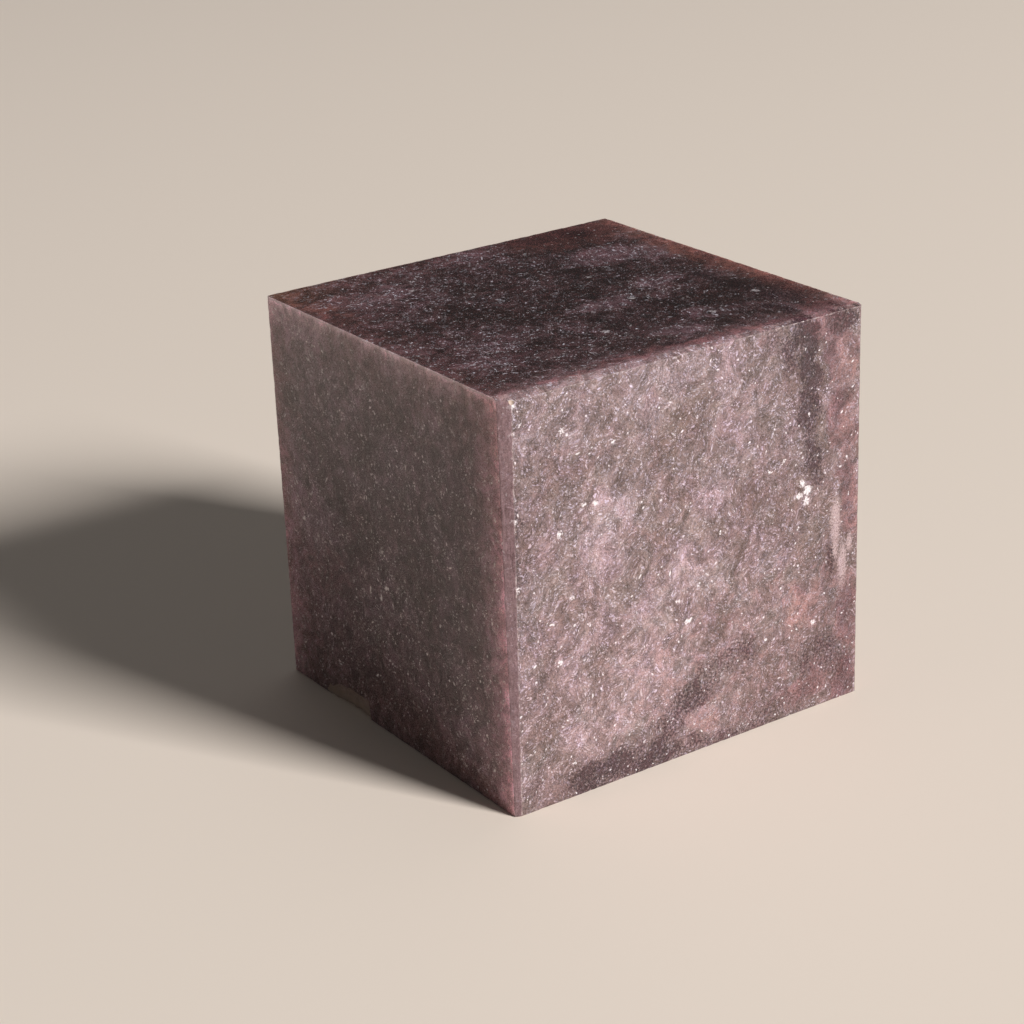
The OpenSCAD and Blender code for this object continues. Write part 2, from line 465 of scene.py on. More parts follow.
PALE_PATCHES = (
    in_front(-13.6, 41.3, 4.2, 3.0, 1.25), in_front(-15.5, 35.0, 3.2, 3.6, 1.1),
    in_front(-1.6, 28.0, 3.8, 2.8, 1.3), in_front(-7.0, 22.5, 3.4, 5.0, 0.95),
    in_front(-8.5, 15.0, 4.2, 4.8, 1.15), in_front(-12.0, 9.5, 4.0, 3.6, 0.9),
    in_front(-18.5, 8.2, 4.5, 2.6, 0.52), in_front(19.5, 17.0, 4.0, 4.0, 1.0),
    in_front(1.5, 4.5, 3.6, 2.0, 0.48), in_front(8.0, 22.0, 3.0, 2.4, 0.42),
    in_front(12.0, 47.5, 4.0, 3.0, 0.42),
    in_front(-5.0, 55.0, 6.0, 3.2, 0.55), in_front(27.2, 53.0, 2.4, 3.0, 0.36),
    in_front(-1.0, 20.6, 3.0, 1.6, 0.9), in_front(-24.6, 53.4, 4.4, 3.6, 0.32),
    in_front(9.5, 41.5, 2.6, 3.4, 0.4), in_front(5.5, 26.5, 2.4, 3.4, 0.6),
    in_front(-22.0, 20.5, 2.2, 2.0, 0.5), in_front(3.0, 38.0, 3.4, 2.4, 0.45),
    in_front(-24.0, 40.0, 2.0, 3.0, 0.35), in_front(16.0, 26.0, 3.0, 3.0, 0.45),
    in_front(-6.5, 9.5, 5.0, 3.2, 0.55), in_front(-0.5, 15.0, 4.6, 3.0, 0.60),
    in_front(2.0, 57.0, 3.4, 2.4, 0.5), in_front(-9.8, 48.5, 3.2, 5.0, 0.40),
    on_top(-20.0, 18.0, 10.0, 5.0, 1.0), on_top(3.0, -6.8, 6.0, 1.7, 1.0),
    on_top(15.0, -2.0, 4.0, 2.6, 0.9), on_top(18.0, 13.5, 8.0, 4.0, 1.0),
    on_top(-17.0, -11.0, 9.0, 4.0, 0.6), on_top(-4.0, 26.0, 14.0, 2.0, 0.3),
    on_left(27.0, 7.0, 5.0, 9.0, 0.7), on_left(22.0, 57.5, 10.0, 3.4, 0.6),
    on_left(-24.0, 6.0, 5.0, 7.0, 0.6), on_left(18.0, 23.0, 6.5, 13.0, 0.6),
    on_top(-12.0, 9.0, 8.0, 3.0, 0.5), on_top(26.0, 8.0, 4.0, 6.0, 0.6),
    on_top(4.0, -22.5, 5.5, 1.8, 0.9), on_top(-22.0, 27.0, 5.0, 3.0, 0.6),
    on_top(-24.0, -17.0, 5.0, 4.0, 0.5), on_top(-14.5, 13.0, 6.0, 2.0, 0.5),
    on_top(-6.0, 22.0, 7.0, 3.0, 0.4), on_top(0.0, 5.0, 4.0, 4.0, 0.35),
    on_top(-6.0, -12.0, 2.6, 2.6, 0.7), on_top(12.0, -18.0, 3.0, 2.4, 0.5),
    on_left(13.0, 53.0, 4.0, 3.0, 0.6), on_left(6.0, 49.0, 5.0, 2.6, 0.4),
    on_left(-8.0, 45.0, 5.0, 3.0, 0.35), on_left(22.0, 27.0, 4.0, 2.0, 0.6),
    on_left(1.5, 22.0, 2.0, 3.4, 0.6), on_left(-18.5, 8.0, 2.4, 5.0, 0.8),
    on_left(26.0, 36.0, 3.0, 8.0, 0.5), on_left(18.0, 19.0, 6.0, 3.0, 0.5),
)
BROWN_PATCHES = (
    in_front(-25.5, 17.0, 4.0, 4.0, 0.5), in_front(-3.0, 44.0, 4.0, 2.4, 0.2),
    in_front(9.0, 33.0, 5.0, 4.0, 0.6), in_front(-24.0, 45.0, 3.0, 4.0, 0.2),
    in_front(-20.0, 27.0, 4.0, 3.0, 0.6), in_front(5.5, 17.0, 3.5, 3.0, 0.3),
    in_front(16.0, 39.0, 4.0, 4.0, 1.0), in_front(2.0, 48.5, 3.0, 3.5, 0.6),
    in_front(-15.0, 18.0, 2.0, 4.0, 0.6), in_front(-24.0, 10.0, 3.0, 2.0, 0.5),
    in_front(23.5, 45.0, 2.0, 12.0, 0.7), in_front(24.0, 26.0, 2.4, 5.0, 0.7),
    in_front(28.0, 44.0, 2.0, 4.0, 0.6), in_front(28.6, 16.0, 1.8, 4.0, 0.5),
    in_front(13.0, 57.0, 4.0, 3.0, 0.4), in_front(12.0, 22.0, 3.0, 4.0, 0.4),
    in_front(-24.5, 30.0, 3.2, 22.0, 0.40), in_front(10.0, 6.0, 6.0, 3.6, 0.35),
    in_front(25.0, 34.0, 2.4, 4.6, 0.8), in_front(14.5, 34.0, 4.2, 8.0, 1.0),
    in_front(14.5, 20.0, 3.0, 8.0, 0.45), in_front(27.0, 35.0, 4.0, 13.0, 0.45),
    in_front(2.5, 36.0, 4.0, 4.0, 0.55), in_front(11.0, 12.0, 5.0, 4.0, 0.5),
    in_front(27.5, 6.0, 4.0, 6.0, 0.6), in_front(-26.6, 37.0, 2.8, 6.0, 0.9),
    in_front(-22.0, 56.0, 3.0, 3.0, 0.4), in_front(3.0, 4.0, 3.0, 2.6, 0.35),
    in_front(21.0, 29.0, 3.4, 3.0, 0.4), in_front(11.0, 38.0, 5.0, 5.0, 0.55),
    in_front(-5.0, 33.5, 3.4, 2.4, 0.5), in_front(-10.5, 27.0, 3.0, 2.4, 0.55),
    in_front(-22.5, 27.0, 3.0, 3.0, 0.6), in_front(5.0, 8.5, 4.0, 2.4, 0.6),
    in_front(9.0, 9.5, 3.4, 2.6, 0.7),
    in_front(21.0, 40.0, 3.0, 8.0, 0.5), on_top(14.0, 27.0, 8.0, 3.0, 1.0),
    on_top(-6.0, 1.0, 12.0, 7.0, 0.5), on_top(8.0, 8.0, 8.0, 6.0, 0.7),
    on_top(8.0, -12.0, 8.0, 4.0, 0.6), on_top(18.0, -14.0, 8.0, 6.0, 0.8),
    on_top(15.0, 21.0, 6.0, 3.0, 0.7), on_left(4.0, 13.0, 8.0, 4.0, 0.35),
    on_left(-10.0, 20.0, 8.0, 10.0, 0.4),
)
WARM_PATCHES = (
    in_front(27.0, 53.6, 3.2, 4.8, 1.05, 7.0), in_front(25.6, 58.0, 5.0, 2.6, 0.8, 7.0),
    in_front(27.6, 43.0, 3.2, 6.0, 0.85, 7.0),
    in_front(28.4, 32.0, 2.8, 7.0, 0.9, 7.0), in_front(28.8, 14.0, 2.6, 8.0, 0.75, 7.0),
    in_front(19.5, 16.5, 4.6, 4.8, 0.65, 7.0), in_front(20.0, 4.5, 5.0, 2.8, 0.75, 7.0),
    in_front(27.8, 3.0, 3.4, 4.0, 1.0, 7.0), in_front(2.0, 4.0, 3.4, 2.0, 0.62, 7.0),
    in_front(15.0, 22.0, 3.0, 4.0, 0.35, 7.0), in_front(-5.0, 12.0, 2.6, 2.4, 0.35, 7.0),
    in_front(8.0, 11.0, 27.0, 17.0, 0.32, 7.0), in_front(24.0, 18.0, 5.0, 8.0, 0.45, 7.0),
    on_top(-28.0, 17.0, 3.0, 10.0, 0.5), on_top(29.0, 0.0, 3.4, 26.0, 0.8),
    on_top(26.0, -25.5, 5.5, 3.0, 0.5), on_top(20.0, 25.5, 11.0, 6.5, 1.2),
    on_top(0.0, -27.5, 30.0, 1.6, 0.6), on_left(18.0, 21.0, 9.0, 5.0, 0.45),
    on_left(28.0, 36.0, 3.4, 9.0, 0.35), on_left(24.0, 10.0, 6.0, 6.0, 0.35),
)
PATCH_RIM = (1.45, 0.35)
STRAY = 2.0


def strongest(spots, patches):
    """The strongest patch at each spot, from 0 outside them all to 1."""
    best = numpy.zeros(len(spots))
    for centre, half, strength in patches:
        away = numpy.linalg.norm((spots - centre) / half, axis=1)
        share = numpy.clip((PATCH_RIM[0] - away) / (PATCH_RIM[0] - PATCH_RIM[1]), 0, 1)
        best = numpy.maximum(best, strength * share * share * (3 - 2 * share))
    return best


# Turbulence takes its shift from the seed, and fractal noise has none.
seed_set(3)
BEND_SIZE = 5.0
BENT = 1.5
DRAWN_OUT = 2.2
BROAD_BANDS, NARROW_BANDS, DARK_BANDS = 9.0, 3.4, 6.0
bends = numpy.empty((len(stone.data.vertices), 3))
drifts = numpy.empty((len(stone.data.vertices), 3))
for vertex in stone.data.vertices:
    spot = vertex.co / MM
    stray = turbulence_vector(spot / BEND_SIZE, 3, False, amplitude_scale=0.6, frequency_scale=2.1)
    bends[vertex.index] = stray
    bent = spot + stray * BENT
    laid = Vector((bent.dot(MICA_LENGTH) / DRAWN_OUT, bent.dot(MICA_WIDTH), bent.dot(MICA_FACE)))
    drifts[vertex.index] = (
        fractal(laid / BROAD_BANDS, 0.8, 2.1, 2),
        fractal(laid / NARROW_BANDS + Vector((31, 7, 19)), 0.7, 2.1, 2),
        fractal(laid / DARK_BANDS + Vector((5, 47, 83)), 0.6, 2.1, 3))
spots = numpy.array([vertex.co for vertex in stone.data.vertices]) / MM
strayed = spots + bends * STRAY
FAINT_DARK = 0.35
dark = strongest(strayed, DARK_PATCHES)
dark = numpy.maximum(dark, numpy.clip(drifts[:, 2] * 0.9 - 0.30, 0, FAINT_DARK))
pale = (0.36 + 0.34 * drifts[:, 0] + 0.25 * drifts[:, 1]
        + 0.62 * strongest(strayed, PALE_PATCHES) - 0.35 * strongest(strayed, BROWN_PATCHES))
warm = strongest(strayed, WARM_PATCHES)
fields = stone.data.attributes.new("patches", "FLOAT_VECTOR", "POINT")
fields.data.foreach_set("vector", numpy.stack((dark, pale, warm), axis=1).astype("f").ravel())
fields = stone.data.attributes.new("bends", "FLOAT_VECTOR", "POINT")
fields.data.foreach_set("vector", bends.astype("f").ravel())


# Helpers that lay out the stone's shader nodes.
def put(tree, kind, inputs=(), **settings):
    """Adds a node, with its settings, and links or sets its inputs."""
    item = tree.nodes.new(kind)
    for name, value in settings.items():
        setattr(item, name, value)
    for key, value in dict(inputs).items():
        if isinstance(value, bpy.types.NodeSocket):
            tree.links.new(value, item.inputs[key])
        else:
            item.inputs[key].default_value = value
    return item


def sums(tree, operation, first, second=0.0, third=0.0):
    """A number worked out from up to three numbers."""
    return put(tree, "ShaderNodeMath", {0: first, 1: second, 2: third},
               operation=operation).outputs[0]


def vectors(tree, operation, first, second=(0, 0, 0)):
    """A vector, or for DOT_PRODUCT and LENGTH a number, from two vectors."""
    item = put(tree, "ShaderNodeVectorMath", {0: first, 1: second}, operation=operation)
    return item.outputs["Value" if operation in ("DOT_PRODUCT", "LENGTH") else "Vector"]


def scaled(tree, vector, factor):
    return put(tree, "ShaderNodeVectorMath", {0: vector, "Scale": factor},
               operation="SCALE").outputs[0]


def fade(tree, value, start, end, low_value=0.0, high_value=1.0):
    """Runs smoothly from one value to another as the input goes from start to end."""
    return put(tree, "ShaderNodeMapRange",
               {"Value": value, "From Min": start, "From Max": end,
                "To Min": low_value, "To Max": high_value},
               interpolation_type="SMOOTHSTEP").outputs["Result"]


def blend(tree, share, first, second, how="MIX"):
    """Mixes two colours."""
    return put(tree, "ShaderNodeMix", {0: share, 6: first, 7: second},
               data_type="RGBA", blend_type=how).outputs[2]


def clouds(tree, point, size, detail=2.0, roughness=0.5):
    """Noise whose lumps are about this many millimetres across."""
    return put(tree, "ShaderNodeTexNoise",
               {"Vector": point, "Scale": 1 / size, "Detail": detail,
                "Roughness": roughness}, noise_dimensions="3D").outputs["Fac"]


def cells(tree, point, size):
    """Cells about this many millimetres across: how far each point is from its
    cell's middle, in cells, and three random shares that the cell has."""
    found = put(tree, "ShaderNodeTexVoronoi", {"Vector": point, "Scale": 1 / size})
    shares = put(tree, "ShaderNodeSeparateColor", {0: found.outputs["Color"]}).outputs
    return found.outputs["Distance"], shares, found.outputs["Color"]


def parts_of(tree, vector):
    return put(tree, "ShaderNodeSeparateXYZ", {0: vector}).outputs


def new_group(name, inputs, outputs):
    """A shader node group: its tree, its inputs by name and its output node."""
    tree = bpy.data.node_groups.new(name, "ShaderNodeTree")
    for label, kind in inputs:
        tree.interface.new_socket(label, in_out="INPUT", socket_type="NodeSocket" + kind)
    for label, kind in outputs:
        tree.interface.new_socket(label, in_out="OUTPUT", socket_type="NodeSocket" + kind)
    return tree, tree.nodes.new("NodeGroupInput").outputs, tree.nodes.new("NodeGroupOutput")


def give_out(tree, result, **values):
    for label, value in values.items():
        tree.links.new(value, result.inputs[label.replace("_", " ")])


# A crystal of clear white mica: how far a point is from the nearest one, where
# 1 is on its outline. Each crystal passes on the least distance so far.
crystal, given, result = new_group(
    "crystal", [("Point", "Vector"), ("Centre", "Vector"), ("Half Size", "Vector"),
                ("Nearest", "Float")], [("Nearest", "Float")])
away = vectors(crystal, "LENGTH", vectors(
    crystal, "DIVIDE", vectors(crystal, "SUBTRACT", given["Point"], given["Centre"]),
    given["Half Size"]))
give_out(crystal, result, Nearest=sums(crystal, "MINIMUM", away, given["Nearest"]))

# The crushed line that grinding leaves along an edge: how near the edge is.
edge_line, given, result = new_group(
    "edge_line", [("Point", "Vector"), ("On Edge", "Vector"), ("Direction", "Vector"),
                  ("Width", "Float")], [("Mask", "Float")])
away = vectors(edge_line, "SUBTRACT", given["Point"], given["On Edge"])
run = vectors(edge_line, "DOT_PRODUCT", away, given["Direction"])
beside = vectors(edge_line, "SUBTRACT", away, scaled(edge_line, given["Direction"], run))
give_out(edge_line, result, Mask=fade(
    edge_line, sums(edge_line, "DIVIDE", vectors(edge_line, "LENGTH", beside),
                    given["Width"]), 1.0, 0.4))

# The mica: a ground of brown-grey to lilac, dark or warm in its patches, under
# small shiny flakes that crowd in clumps. Sizes are in millimetres, and the
# pattern is drawn out a little along the mica.
TONE_SIZE, CURL_SIZE, CLUMP_SIZE, GRAIN_SIZE = 1.5, 0.38, 0.9, 0.17
FLAKE_SIZE, FLECK_SIZE = 0.25, 0.70
LENGTHWISE = 0.73
ROUNDER = 1.34
TINT_SIZE, BLUE_SIZE = 4.0, 3.0
TINT_RISE = 0.0035
TINT_MIDDLE, TINT_TOP = 30.0, 58.0
BROWN_GREY = (0.127, 0.078, 0.070, 1)
LILAC = (0.240, 0.163, 0.165, 1)
GREEN_GREY = (0.042, 0.018, 0.021, 1)
DARK_PLUM = (0.056, 0.019, 0.022, 1)
PLUM = (0.130, 0.064, 0.068, 1)
SALMON = (0.265, 0.143, 0.135, 1)
mica, given, result = new_group(
    "mica", [("Point", "Vector"), ("Bend", "Vector"), ("Patches", "Vector")],
    [("Ground", "Color"), ("Lilac", "Float"), ("Threads", "Float"), ("White", "Float"),
     ("Grain", "Float"), ("Lean", "Color"), ("Fray", "Color"), ("Warm", "Float"),
     ("Tint", "Color")])
point = given["Point"]
patch = parts_of(mica, given["Patches"])
bent = vectors(mica, "ADD", point, scaled(mica, given["Bend"], 1.1))
drawn = put(mica, "ShaderNodeCombineXYZ", {
    axis: vectors(mica, "DOT_PRODUCT", bent, direction * share)
    for axis, (direction, share) in enumerate((
        (MICA_LENGTH, LENGTHWISE), (MICA_WIDTH, 1.0), (MICA_FACE, 1.0)))}).outputs[0]
tone = clouds(mica, drawn, TONE_SIZE, 3.0, 0.6)
curl = clouds(mica, point, CURL_SIZE, 1.0)
clump = clouds(mica, vectors(mica, "ADD", drawn, (17, 3, 41)), CLUMP_SIZE, 2.0, 0.6)
grain = clouds(mica, point, GRAIN_SIZE, 0.0)
rounder = vectors(mica, "MULTIPLY", drawn, (ROUNDER, 1.0, 1.0))
dot_away, dot_share, dot_colour = cells(mica, rounder, FLAKE_SIZE)
fleck_away, fleck_share, _ = cells(mica, vectors(mica, "ADD", rounder, (3, 9, 27)), FLECK_SIZE)

fine = sums(mica, "SUBTRACT", tone, 0.5)
lilac = fade(mica, sums(mica, "MULTIPLY_ADD", fine, 0.9, patch["Y"]), -0.1, 1.1)
speckled = sums(mica, "MULTIPLY_ADD", sums(mica, "SUBTRACT", curl, 0.5), -2.8, sums(
    mica, "MULTIPLY_ADD", fine, 3.0, 1.0))
darkened = fade(mica, sums(mica, "MULTIPLY", patch["X"], speckled), 0.10, 1.05)
warmed = fade(mica, sums(mica, "MULTIPLY_ADD", fine, 0.6, patch["Z"]), 0.15, 0.8)
ground = blend(mica, lilac, BROWN_GREY, LILAC)
ground = blend(mica, warmed, ground, blend(mica, lilac, PLUM, SALMON))
ground = blend(mica, darkened, ground, blend(mica, warmed, GREEN_GREY, DARK_PLUM))
ground = scaled(mica, ground, fade(mica, fine, -0.22, 0.22, 0.70, 1.36))
ground = scaled(mica, ground, fade(mica, patch["Y"], 0.8, 1.5, 1.0, 1.32))
ground = scaled(mica, ground, fade(mica, sums(
    mica, "MULTIPLY_ADD", curl, 0.6, grain), 0.55, 1.05, 0.74, 1.26))

# Small flakes crowd in clumps, like grains of salt, and are ragged.
ragged = sums(mica, "MULTIPLY", sums(mica, "SUBTRACT", grain, 0.5), 0.8)
crowd = fade(mica, clump, 0.36, 0.64, 0.20, 1.0)
crowd = sums(mica, "MULTIPLY", crowd, sums(mica, "MULTIPLY_ADD", warmed, -0.55, sums(
    mica, "MULTIPLY_ADD", lilac, 0.5, 0.85)))
crowd = sums(mica, "MULTIPLY", crowd, sums(mica, "MULTIPLY_ADD", darkened, -0.72, 1.0))
small = sums(mica, "MULTIPLY", fade(mica, sums(mica, "ADD", ragged, dot_away), 0.60, 0.32),
             sums(mica, "POWER", dot_share["Red"], 1.3))
broad = sums(mica, "MULTIPLY", fade(mica, sums(
    mica, "MULTIPLY_ADD", sums(mica, "SUBTRACT", curl, 0.5), 0.9, fleck_away), 0.36, 0.20),
    sums(mica, "POWER", fleck_share["Blue"], 2.0))
threads = sums(mica, "MULTIPLY", sums(mica, "MAXIMUM", small, broad), crowd)

# A few stand out white: pale mica, and partly painted glints.
frayed_away = sums(mica, "MULTIPLY_ADD", ragged, 0.25, sums(
    mica, "MULTIPLY_ADD", sums(mica, "SUBTRACT", curl, 0.5), 0.35, fleck_away))
size = sums(mica, "MULTIPLY", sums(mica, "POWER", fleck_share["Green"], 4.0), 0.29)
white = fade(mica, sums(mica, "DIVIDE", frayed_away, sums(mica, "ADD", size, 0.001)), 1.1, 0.5)
fray = put(mica, "ShaderNodeCombineXYZ", {0: curl, 1: tone, 2: clump}).outputs[0]

# Its hue drifts from place to place, whatever the tone, and is bluer higher up.
above_middle = sums(mica, "SUBTRACT", sums(
    mica, "MINIMUM", parts_of(mica, point)["Z"], TINT_TOP), TINT_MIDDLE)
redder = sums(mica, "MULTIPLY_ADD", above_middle, -TINT_RISE, clouds(
    mica, vectors(mica, "ADD", bent, (51, 7, 23)), TINT_SIZE, 2.0, 0.6))
bluer = sums(mica, "MULTIPLY_ADD", above_middle, TINT_RISE, clouds(
    mica, vectors(mica, "ADD", bent, (5, 61, 13)), BLUE_SIZE, 2.0, 0.6))
tint = blend(mica, fade(mica, redder, 0.35, 0.65), (0.980, 1.020, 1.0, 1),
             (1.020, 0.975, 0.990, 1))
tint = blend(mica, 1.0, tint, blend(mica, fade(mica, bluer, 0.35, 0.65), (
    1.0, 1.0, 0.965, 1), (1.0, 1.0, 1.035, 1)), "MULTIPLY")
give_out(mica, result, Ground=ground, Lilac=lilac, Threads=threads, White=white, Grain=grain,
         Lean=dot_colour, Fray=fray, Warm=warmed, Tint=tint)

# Single crystals, with a cluster of four high on the right, and pale veins.
CRYSTALS = (
    in_front(20.0, 35.7, 0.50, 0.70, 0.85, 1.2), in_front(20.9, 34.5, 0.8, 0.65, 0.9, 1.2),
    in_front(19.3, 33.9, 0.75, 0.5, 0.85, 1.2), in_front(20.7, 33.1, 0.55, 0.75, 0.85, 1.2),
    in_front(-16.1, 42.2, 0.42, 0.50, 1.0, 1.0), in_front(-17.9, 42.5, 0.40, 0.22, 0.9, 1.0),
    in_front(-22.1, 39.3, 0.36, 0.52, 1.0, 1.0), in_front(-20.3, 29.7, 0.22, 0.55, 0.9, 1.0),
    in_front(-22.6, 20.9, 0.38, 0.55, 1.0, 1.0), in_front(13.9, 39.0, 0.32, 0.28, 0.9, 1.0),
    in_front(16.5, 39.8, 0.26, 0.26, 0.9, 1.0), in_front(-0.7, 20.7, 0.75, 0.24, 0.9, 1.0),
    in_front(-2.4, 24.0, 0.40, 0.30, 0.8, 1.0), in_front(-12.9, 50.2, 0.34, 0.28, 0.9, 1.0),
    in_front(-21.2, 53.6, 0.40, 0.36, 0.6, 1.0), in_front(-27.8, 56.0, 0.26, 0.30, 0.9, 1.0),
    in_front(-20.6, 5.1, 0.30, 0.26, 0.9, 1.0), in_front(22.2, 13.8, 0.45, 0.30, 0.6, 1.0),
    on_top(-13.4, 17.3, 0.55, 0.60, 0.8, 1.0), on_top(9.5, 5.8, 0.40, 0.50, 0.7, 1.0),
    on_top(23.4, -15.2, 0.50, 0.60, 0.9, 1.0), on_top(12.8, -18.8, 0.36, 0.40, 0.7, 1.0),
    on_top(-3.8, -16.2, 0.50, 0.60, 0.7, 1.0), on_top(8.2, -6.6, 0.45, 0.40, 0.7, 1.0),
    in_front(-28.8, 58.9, 0.40, 0.75, 1.0, 1.0), in_front(-29.1, 55.0, 0.50, 0.26, 1.0, 1.0),
    in_front(-29.1, 42.9, 0.50, 0.26, 0.6, 1.0), in_front(-29.0, 33.3, 0.22, 0.60, 0.9, 1.0),
    on_left(1.0, 23.6, 0.45, 0.40, 0.8, 1.0), on_left(2.6, 21.4, 0.30, 0.55, 0.7, 1.0),
    on_left(23.4, 27.2, 0.45, 0.30, 0.6, 1.0),
)
VEINS = (
    in_front(26.2, 28.5, 0.9, 3.6, 0.55, 2.0), in_front(27.6, 21.5, 0.8, 3.0, 0.55, 2.0),
    in_front(26.2, 24.0, 0.4, 1.8, 0.45, 2.0), in_front(28.9, 24.5, 0.5, 1.4, 0.40, 2.0),
)


def nearest(tree, point, spots):
    """How far each point is from the nearest crystal or vein."""
    least = 10.0
    for centre, half, strength in spots:
        one = put(tree, "ShaderNodeGroup", (), node_tree=crystal)
        tree.links.new(point, one.inputs["Point"])
        one.inputs["Centre"].default_value = centre
        one.inputs["Half Size"].default_value = half
        if isinstance(least, float):
            one.inputs["Nearest"].default_value = least
        else:
            tree.links.new(least, one.inputs["Nearest"])
        least = one.outputs["Nearest"]
    return least


THREAD = (0.61, 0.490, 0.520, 1)
LILAC_THREAD = (0.56, 0.460, 0.575, 1)
END_THREAD = (0.70, 0.64, 0.70, 1)
SIDE_THREAD = (0.78, 0.68, 0.69, 1)
WHITE_MICA_AND_GLINT = (0.76, 0.69, 0.70, 1)
VEIN = (0.46, 0.335, 0.335, 1)


def stone_ground(tree):
    """The mica in a material: its coordinates, its point in millimetres and its
    group."""
    place = put(tree, "ShaderNodeTexCoord")
    point = scaled(tree, place.outputs["Object"], 1 / MM)
    look = put(tree, "ShaderNodeGroup", (), node_tree=mica)
    tree.links.new(point, look.inputs["Point"])
    for name, socket in (("patches", "Patches"), ("bends", "Bend")):
        field = put(tree, "ShaderNodeAttribute", (), attribute_name=name)
        tree.links.new(field.outputs["Vector"], look.inputs[socket])
    return place, point, look.outputs


FRAYED = 1.6
polish.use_nodes = True
tree = polish.node_tree
surface = tree.nodes["Principled BSDF"]
place, point, look = stone_ground(tree)
frayed = vectors(tree, "ADD", point, scaled(tree, vectors(
    tree, "SUBTRACT", look["Fray"], (0.5, 0.5, 0.5)), FRAYED))
facing = parts_of(tree, place.outputs["Normal"])
ends = sums(tree, "POWER", sums(tree, "ABSOLUTE", facing["Z"]), 20.0)
sides = sums(tree, "POWER", sums(tree, "ABSOLUTE", facing["X"]), 3.0)
flat_sides = sums(tree, "POWER", sides, 5.0)
fronts = sums(tree, "POWER", sums(tree, "ABSOLUTE", facing["Y"]), 12.0)
at = parts_of(tree, point)
wide, deep, tall = block_size / MM / 2
from_front = sums(tree, "ADD", at["Y"], deep)
from_back = sums(tree, "SUBTRACT", deep, at["Y"])
from_left = sums(tree, "ADD", at["X"], wide)
from_right = sums(tree, "SUBTRACT", wide, at["X"])
from_top = sums(tree, "SUBTRACT", 2 * tall, at["Z"])
far_corner = sums(tree, "ADD", from_left, from_back)
from_base = sums(tree, "MAXIMUM", at["Z"], 0.0)

# What the mica's ends and sides keep of the pale colour of its faces, and the
# painted glow that stands for light coming through the stone from a face nearby:
# which face it comes from, where it shows, how far it reaches and how much it
# adds. A minus is painted shade, near the front's upright edges where some of its
# own light leaves, and takes blue from the top's far left corner, which is brown.
END_TONE = (0.160, 0.075, 0.068, 1)
LILAC_END_TONE = (0.43, 0.303, 0.340, 1)
WARM_END_TONE = (0.36, 0.238, 0.205, 1)
SIDE_TONE = (0.465, 0.40, 0.492, 1)
LILAC_SIDE_TONE = (0.61, 0.55, 0.69, 1)
PAINTED_LIGHT_THROUGH = (
    (from_front, flat_sides, 2.7, (3.40, 2.50, 3.10)),
    (from_front, flat_sides, 0.8, (0.10, 0.90, 0.95)),
    (from_left, fronts, 3.0, (-0.27, -0.27, -0.26)),
    (from_right, fronts, 4.5, (-0.14, -0.15, -0.15)),
    (from_front, ends, 2.2, (1.85, 1.62, 1.78)),
    (from_right, ends, 2.2, (1.05, 0.80, 0.66)),
    (from_back, ends, 5.0, (0.20, 0.10, 0.11)),
    (from_left, ends, 4.0, (0.36, 0.23, 0.24)),
    (far_corner, ends, 7.0, (0.26, 0.21, -0.09)),
    (from_back, sides, 3.2, (1.00, 0.70, 0.80)),
    (from_back, sides, 16.0, (0.11, 0.11, 0.12)),
    (from_top, sides, 5.0, (1.25, 1.16, 1.32)),
    (from_top, sides, 0.7, (3.20, 3.70, 4.20)),
    (from_base, sides, 4.5, (0.52, 0.43, 0.41)),
)
tone = blend(tree, sides, (1, 1, 1, 1), blend(tree, look["Lilac"], SIDE_TONE, LILAC_SIDE_TONE))
tone = blend(tree, ends, tone, blend(tree, look["Lilac"], END_TONE, LILAC_END_TONE))
tone = blend(tree, sums(tree, "MULTIPLY", ends, look["Warm"]), tone, WARM_END_TONE)
# Each row adds a painted glow to the tone, or painted shade where it is negative.
for distance, shown, reach, added in PAINTED_LIGHT_THROUGH:
    share = sums(tree, "EXPONENT", sums(tree, "DIVIDE", distance, -reach))
    tone = vectors(tree, "ADD", tone, put(tree, "ShaderNodeVectorMath", {
        0: added, "Scale": sums(tree, "MULTIPLY", share, shown)}, operation="SCALE").outputs[0])
colour = blend(tree, 1.0, look["Ground"], tone, "MULTIPLY")
lean_share = put(tree, "ShaderNodeSeparateColor", {0: look["Lean"]}).outputs
thread_colour = blend(tree, lean_share["Green"], THREAD, LILAC_THREAD)
thread_colour = blend(tree, sides, blend(tree, ends, thread_colour, END_THREAD), SIDE_THREAD)
flakes = sums(tree, "POWER", look["Threads"], sums(
    tree, "MULTIPLY_ADD", sides, 1.1, sums(tree, "MULTIPLY_ADD", ends, 1.8, 1.0)))
flakes = sums(tree, "MULTIPLY", flakes, sums(tree, "MULTIPLY_ADD", sides, 0.05, sums(
    tree, "MULTIPLY_ADD", ends, 0.22, 0.92)))
colour = blend(tree, flakes, colour, thread_colour)
colour = blend(tree, 1.0, colour, look["Tint"], "MULTIPLY")
vein = sums(tree, "MULTIPLY", fade(tree, nearest(tree, frayed, VEINS), 1.5, 0.5), fade(
    tree, look["Grain"], 0.25, 0.60, 0.30, 0.85))
colour = blend(tree, vein, colour, VEIN)
# White mica and its listed crystals; the small specks are partly painted glints.
white = sums(tree, "MAXIMUM", look["White"], fade(
    tree, nearest(tree, frayed, CRYSTALS), 1.2, 0.5))
white = sums(tree, "MULTIPLY", white, fade(tree, look["Grain"], 0.3, 0.5, 0.65, 1.0))
colour = blend(tree, sums(tree, "MULTIPLY", white, sums(
    tree, "MULTIPLY_ADD", ends, -0.45, 0.95)), colour, WHITE_MICA_AND_GLINT)

